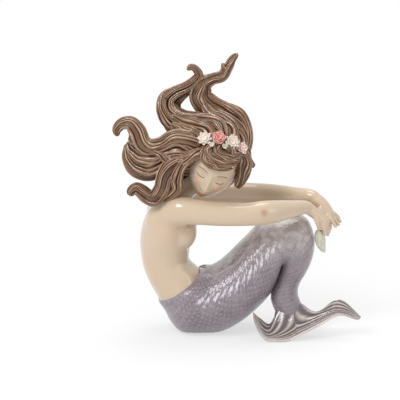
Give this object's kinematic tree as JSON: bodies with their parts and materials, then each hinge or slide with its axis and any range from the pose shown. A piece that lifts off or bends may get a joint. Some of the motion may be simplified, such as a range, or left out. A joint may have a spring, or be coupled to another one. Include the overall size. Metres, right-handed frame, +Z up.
{
  "type": "mermaid figurine",
  "caption": "Glazed porcelain mermaid who sits with her tail drawn up, her arms over her knee, windblown hair and a garland of flowers.",
  "frame": {"origin": "middle of the flat spot that the hips rest on", "axes": "+Z up, +X the way she faces, -Y towards the side the picture shows"},
  "size_m": [0.2215, 0.1007, 0.2539],
  "materials": {
    "figure": "glazed porcelain: warm ivory skin, brown hair, mauve-grey tail",
    "white_petals": "satin glazed cream porcelain petals",
    "coral_petals": "satin glazed coral porcelain petals",
    "pink_petals": "satin glazed pale pink porcelain petals",
    "shell": "glazed pale green-white porcelain",
    "hair": "glazed porcelain, brown underglaze wiped back on the ridges",
    "tail": "glazed porcelain, mauve-grey underglaze over scales"
  },
  "bodies": {
    "root": {"mermaid_figure": "figure", "blossom_white_left": "white_petals", "rose_coral": "coral_petals", "blossom_white_right": "white_petals", "blossom_pink": "pink_petals", "bud_left": "shell", "bud_right": "shell", "seashell": "shell"}
  },
  "joints": []
}
